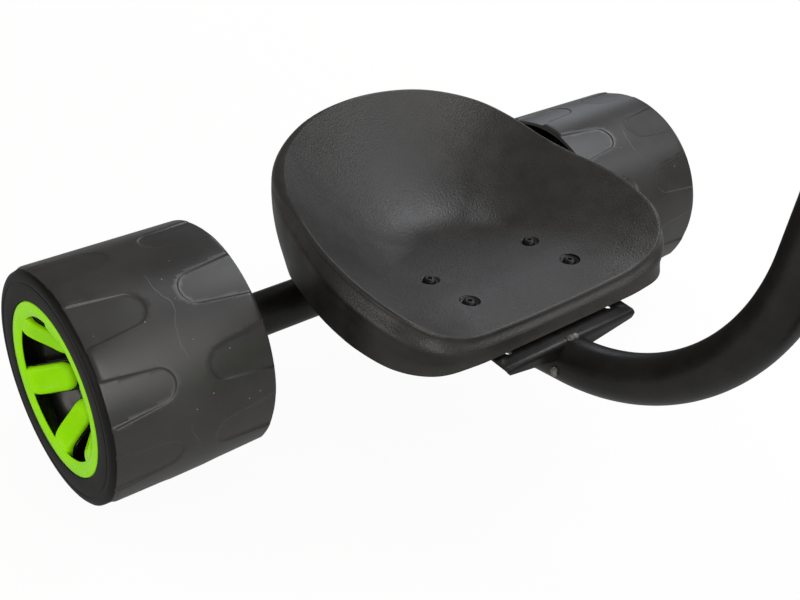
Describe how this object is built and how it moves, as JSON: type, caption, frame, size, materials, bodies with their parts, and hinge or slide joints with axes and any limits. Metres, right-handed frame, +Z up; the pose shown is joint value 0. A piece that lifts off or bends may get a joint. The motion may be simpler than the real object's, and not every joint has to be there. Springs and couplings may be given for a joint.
{
  "type": "drift trike",
  "caption": "Low child's drift trike: bucket seat on a bent tube, wide smooth rear wheels that slide, and a pedalled front wheel under a raised handlebar.",
  "frame": {"origin": "on the floor, at the middle of the trike's length and width", "axes": "+X forward, +Y towards the rider's left, +Z up"},
  "size_m": [0.9463, 0.649, 0.7171],
  "materials": {
    "frame_paint": "satin black powder coat",
    "seat_plastic": "pebbled matt black",
    "tyre_plastic": "smooth satin dark grey",
    "green_plastic": "gloss lime green",
    "tyre_rubber": "matt rubber with tread",
    "grip_rubber": "ribbed matt rubber",
    "pedal_plastic": "moulded black plastic",
    "zinc_steel": "bright zinc plate",
    "black_steel": "black oxide, slightly glossy",
    "spacer_alloy": "turned"
  },
  "bodies": {
    "frame": {"main_tube": "frame_paint", "head_tube": "frame_paint", "rear_axle_tube": "frame_paint", "seat_bracket": "frame_paint", "rear_axle": "zinc_steel", "axle_bush_left": "frame_paint", "axle_bush_right": "frame_paint", "headset_cup_lower": "black_steel", "headset_cup_upper": "black_steel", "headset_bearing_lower": "zinc_steel", "headset_bearing_upper": "zinc_steel", "seat_shell": "seat_plastic", "seat_bolt_rear_left": "black_steel", "seat_bolt_rear_right": "black_steel", "seat_bolt_front_left": "black_steel", "seat_bolt_front_right": "black_steel", "seat_nut_rear_left": "zinc_steel", "seat_nut_rear_right": "zinc_steel", "seat_nut_front_left": "zinc_steel", "seat_nut_front_right": "zinc_steel", "axle_washer_left": "zinc_steel", "axle_washer_right": "zinc_steel", "axle_nut_left": "zinc_steel", "axle_nut_right": "zinc_steel", "bearing_spacer_left": "spacer_alloy", "bearing_spacer_right": "spacer_alloy"},
    "steering": {"fork": "frame_paint", "headset_cover": "black_steel", "stem": "black_steel", "stem_faceplate": "black_steel", "top_cap": "black_steel", "handlebar": "frame_paint", "grip_left": "grip_rubber", "grip_right": "grip_rubber", "front_bearing_left": "zinc_steel", "front_bearing_right": "zinc_steel"},
    "front_wheel": {"front_tyre": "tyre_rubber", "front_wheel": "green_plastic", "front_axle": "black_steel", "crank_left": "black_steel", "crank_right": "black_steel", "pedal_spindle_left": "zinc_steel", "pedal_spindle_right": "zinc_steel"},
    "pedal_left": {"pedal_left": "pedal_plastic"},
    "pedal_right": {"pedal_right": "pedal_plastic"},
    "rear_wheel_left": {"rear_tyre_left": "tyre_plastic", "rear_hub_left": "green_plastic", "rear_bearing_outer_left": "zinc_steel", "rear_bearing_inner_left": "zinc_steel"},
    "rear_wheel_right": {"rear_tyre_right": "tyre_plastic", "rear_hub_right": "green_plastic", "rear_bearing_outer_right": "zinc_steel", "rear_bearing_inner_right": "zinc_steel"}
  },
  "joints": [
    {"name": "steering_turn", "type": "hinge", "parent": "frame", "child": "steering", "pos_m": [0.25421, 0, 0.19316], "axis": [-0.342, 0, 0.9397], "range_deg": [-60, 60]},
    {"name": "front_wheel_spin", "type": "hinge", "parent": "steering", "child": "front_wheel", "pos_m": [0.273, 0, 0.2], "axis": [0, 1, 0], "continuous": true},
    {"name": "pedal_left_spin", "type": "hinge", "parent": "front_wheel", "child": "pedal_left", "pos_m": [0.163, 0.119, 0.2], "axis": [0, 1, 0], "continuous": true},
    {"name": "pedal_right_spin", "type": "hinge", "parent": "front_wheel", "child": "pedal_right", "pos_m": [0.383, -0.119, 0.2], "axis": [0, 1, 0], "continuous": true},
    {"name": "rear_wheel_left_spin", "type": "hinge", "parent": "frame", "child": "rear_wheel_left", "pos_m": [-0.377, 0.25525, 0.096], "axis": [0, 1, 0], "continuous": true},
    {"name": "rear_wheel_right_spin", "type": "hinge", "parent": "frame", "child": "rear_wheel_right", "pos_m": [-0.377, -0.25525, 0.096], "axis": [0, 1, 0], "continuous": true}
  ]
}
